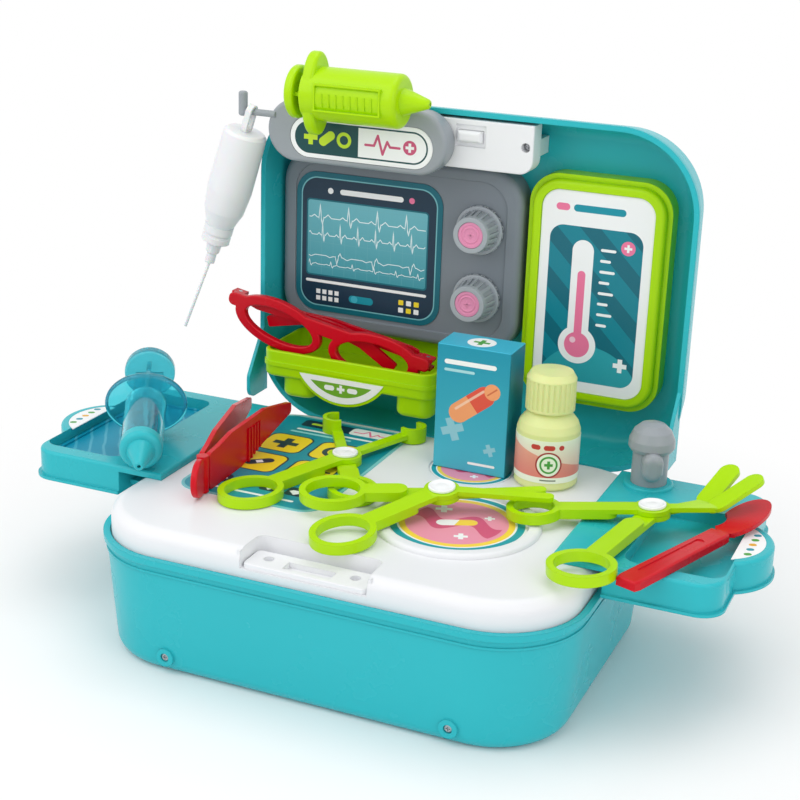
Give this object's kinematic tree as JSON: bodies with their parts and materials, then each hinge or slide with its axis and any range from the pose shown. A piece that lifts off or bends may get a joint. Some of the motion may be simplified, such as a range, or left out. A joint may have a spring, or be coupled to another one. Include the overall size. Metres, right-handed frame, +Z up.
{
  "type": "toy doctor case",
  "caption": "Open toy doctor case: hollow base with a deck, hinged lid with monitor, picture board, shelf and swivel arm, clip-on side trays, and a laid-out kit of toy instruments.",
  "frame": {"origin": "centre of the flat underside of the base", "axes": "+X to the right as the child sees it, +Y back towards the lid, +Z up"},
  "size_m": [0.47, 0.2721, 0.336],
  "materials": {
    "tub_plastic": "gloss moulded plastic",
    "white_plastic": "gloss moulded plastic",
    "lime_plastic": "gloss moulded plastic",
    "grey_plastic": "satin moulded plastic",
    "red_plastic": "gloss moulded plastic",
    "clear_blue_plastic": "clear tinted plastic",
    "printed_label": "printed sticker",
    "cream_plastic": "gloss moulded plastic",
    "carton_board": "coated printed board",
    "steel_pin": "plain steel"
  },
  "bodies": {
    "base": {"base_tub": "tub_plastic", "deck": "white_plastic", "latch_plate": "white_plastic", "deck_sheet": "printed_label", "ring_sheet": "printed_label", "disc_sheet": "printed_label", "hinge_pins": "steel_pin"},
    "lid": {"lid_shell": "tub_plastic", "latch_block": "white_plastic", "monitor_housing": "grey_plastic", "monitor_label": "printed_label", "picture_frame": "lime_plastic", "picture_card": "printed_label", "shelf": "lime_plastic", "shelf_label": "printed_label"},
    "latch_tongue": {"latch_tongue": "white_plastic"},
    "knob_upper": {"knob_upper": "grey_plastic", "knob_cap_upper": "printed_label"},
    "knob_lower": {"knob_lower": "grey_plastic", "knob_cap_lower": "printed_label"},
    "sign_arm": {"sign_arm": "grey_plastic", "sign_label": "printed_label"},
    "drip": {"drip_bottle": "white_plastic", "drip_cap": "white_plastic", "drip_needle": "white_plastic"},
    "lime_barrel": {"lime_barrel": "lime_plastic"},
    "lime_plunger": {"lime_plunger": "lime_plastic"},
    "tray_left": {"tray_left": "tub_plastic", "tray_label_left": "printed_label", "water_window": "clear_blue_plastic"},
    "tray_right": {"tray_right": "tub_plastic", "tray_label_right": "printed_label"},
    "clear_barrel": {"clear_barrel": "clear_blue_plastic"},
    "clear_plunger": {"clear_plunger": "clear_blue_plastic"},
    "faucet": {"faucet_post": "grey_plastic", "faucet_spout": "grey_plastic"},
    "scalpel": {"scalpel_handle": "red_plastic", "scalpel_blade": "red_plastic"},
    "claw_tool_lower": {"claw_tool_lower": "lime_plastic", "claw_tool_rivet": "white_plastic"},
    "claw_tool_upper": {"claw_tool_upper": "lime_plastic"},
    "long_tool_lower": {"long_tool_lower": "lime_plastic", "long_tool_rivet": "white_plastic"},
    "long_tool_upper": {"long_tool_upper": "lime_plastic"},
    "spoon_tool_lower": {"spoon_tool_lower": "lime_plastic", "spoon_tool_rivet": "white_plastic"},
    "spoon_tool_upper": {"spoon_tool_upper": "lime_plastic"},
    "tweezer_left": {"tweezer_left": "red_plastic"},
    "tweezer_right": {"tweezer_right": "red_plastic"},
    "glasses": {"glasses_front": "red_plastic", "temple_pins": "steel_pin"},
    "temple_left": {"temple_left": "red_plastic"},
    "temple_right": {"temple_right": "red_plastic"},
    "carton": {"carton": "carton_board"},
    "pill_bottle": {"pill_bottle": "cream_plastic", "bottle_label": "printed_label"},
    "bottle_cap": {"bottle_cap": "cream_plastic"}
  },
  "joints": [
    {"name": "lid_hinge", "type": "hinge", "parent": "base", "child": "lid", "pos_m": [0, 0.1195, 0.074], "axis": [1, 0, 0], "range_deg": [-18, 0]},
    {"name": "latch_press", "type": "slide", "parent": "lid", "child": "latch_tongue", "axis": [0, 1, 0], "range_m": [0, 0.0033], "stiffness_N_per_m": 300},
    {"name": "knob_upper_turn", "type": "hinge", "parent": "lid", "child": "knob_upper", "pos_m": [0.0028, 0.137, 0.2245], "axis": [0, 1, 0], "continuous": true},
    {"name": "knob_lower_turn", "type": "hinge", "parent": "lid", "child": "knob_lower", "pos_m": [0.0028, 0.137, 0.179], "axis": [0, 1, 0], "continuous": true},
    {"name": "sign_arm_swivel", "type": "hinge", "parent": "lid", "child": "sign_arm", "pos_m": [-0.03, 0.118, 0.282], "axis": [0, 1, 0], "range_deg": [0, 90]},
    {"name": "drip_swing", "type": "hinge", "parent": "sign_arm", "child": "drip", "pos_m": [-0.147, 0.105, 0.291], "axis": [-1, 0, 0], "range_deg": [0, 15]},
    {"name": "lime_syringe_lift", "type": "slide", "parent": "sign_arm", "child": "lime_barrel", "axis": [0, 0, 1], "range_m": [0, 0.04]},
    {"name": "lime_plunger_push", "type": "slide", "parent": "lime_barrel", "child": "lime_plunger", "axis": [1, 0, 0], "range_m": [-0.02, 0.0035]},
    {"name": "tray_left_pull", "type": "slide", "parent": "base", "child": "tray_left", "axis": [-1, 0, 0], "range_m": [0, 0.03]},
    {"name": "tray_right_pull", "type": "slide", "parent": "base", "child": "tray_right", "axis": [1, 0, 0], "range_m": [0, 0.03]},
    {"name": "clear_syringe_lift", "type": "slide", "parent": "tray_left", "child": "clear_barrel", "axis": [0, 0, 1], "range_m": [0, 0.06]},
    {"name": "clear_plunger_push", "type": "slide", "parent": "clear_barrel", "child": "clear_plunger", "axis": [0.4743, -0.8699, -0.1357], "range_m": [-0.012, 0.034]},
    {"name": "faucet_swivel", "type": "hinge", "parent": "tray_right", "child": "faucet", "pos_m": [0.1405, 0.082, 0.092], "axis": [0, 0, 1], "range_deg": [-90, 90]},
    {"name": "claw_tool_lift", "type": "slide", "parent": "base", "child": "claw_tool_lower", "axis": [0, -0.7071, 0.7071], "range_m": [0, 0.09]},
    {"name": "claw_tool_pivot", "type": "hinge", "parent": "claw_tool_lower", "child": "claw_tool_upper", "pos_m": [-0.042, 0.0345, 0.0906], "axis": [0, 0, 1], "range_deg": [-4, 8]},
    {"name": "long_tool_lift", "type": "slide", "parent": "claw_tool_lower", "child": "long_tool_lower", "axis": [0, 0, 1], "range_m": [0, 0.04]},
    {"name": "long_tool_pivot", "type": "hinge", "parent": "long_tool_lower", "child": "long_tool_upper", "pos_m": [0.04, -0.007, 0.09907], "axis": [0.001, -0.1055, 0.9944], "range_deg": [-6, 10]},
    {"name": "spoon_tool_take_out", "type": "slide", "parent": "tray_right", "child": "spoon_tool_lower", "axis": [0.9982, 0, 0.0592], "range_m": [0, 0.04]},
    {"name": "spoon_tool_pivot", "type": "hinge", "parent": "spoon_tool_lower", "child": "spoon_tool_upper", "pos_m": [0.1575, 0.026, 0.0983], "axis": [-0.0592, -0.0195, 0.9981], "range_deg": [-8, 8]},
    {"name": "scalpel_take_out", "type": "slide", "parent": "spoon_tool_lower", "child": "scalpel", "axis": [1, 0, 0], "range_m": [0, 0.06]},
    {"name": "tweezers_lift", "type": "slide", "parent": "base", "child": "tweezer_left", "axis": [0, 0, 1], "range_m": [0, 0.06]},
    {"name": "tweezers_squeeze", "type": "hinge", "parent": "tweezer_left", "child": "tweezer_right", "pos_m": [-0.0971, -0.0471, 0.1], "axis": [0, 0, 1], "range_deg": [0, 8], "stiffness_Nm_per_rad": 0.2},
    {"name": "glasses_take_out", "type": "slide", "parent": "lid", "child": "glasses", "axis": [0.6, 0, 0.8], "range_m": [0, 0.06]},
    {"name": "temple_left_fold", "type": "hinge", "parent": "glasses", "child": "temple_left", "pos_m": [-0.15772, 0.109, 0.16389], "axis": [0.1771, 0, 0.9842], "range_deg": [0, 1.5]},
    {"name": "temple_right_fold", "type": "hinge", "parent": "glasses", "child": "temple_right", "pos_m": [-0.01895, 0.109, 0.13892], "axis": [-0.1771, 0, -0.9842], "range_deg": [0, 8]},
    {"name": "carton_lift", "type": "slide", "parent": "base", "child": "carton", "axis": [0, 0, 1], "range_m": [0, 0.06]},
    {"name": "pill_bottle_lift", "type": "slide", "parent": "base", "child": "pill_bottle", "axis": [0, 0, 1], "range_m": [0, 0.06]},
    {"name": "bottle_cap_turn", "type": "hinge", "parent": "pill_bottle", "child": "bottle_cap", "pos_m": [0.0795, 0.067, 0.14], "axis": [0, 0, 1], "continuous": true}
  ]
}
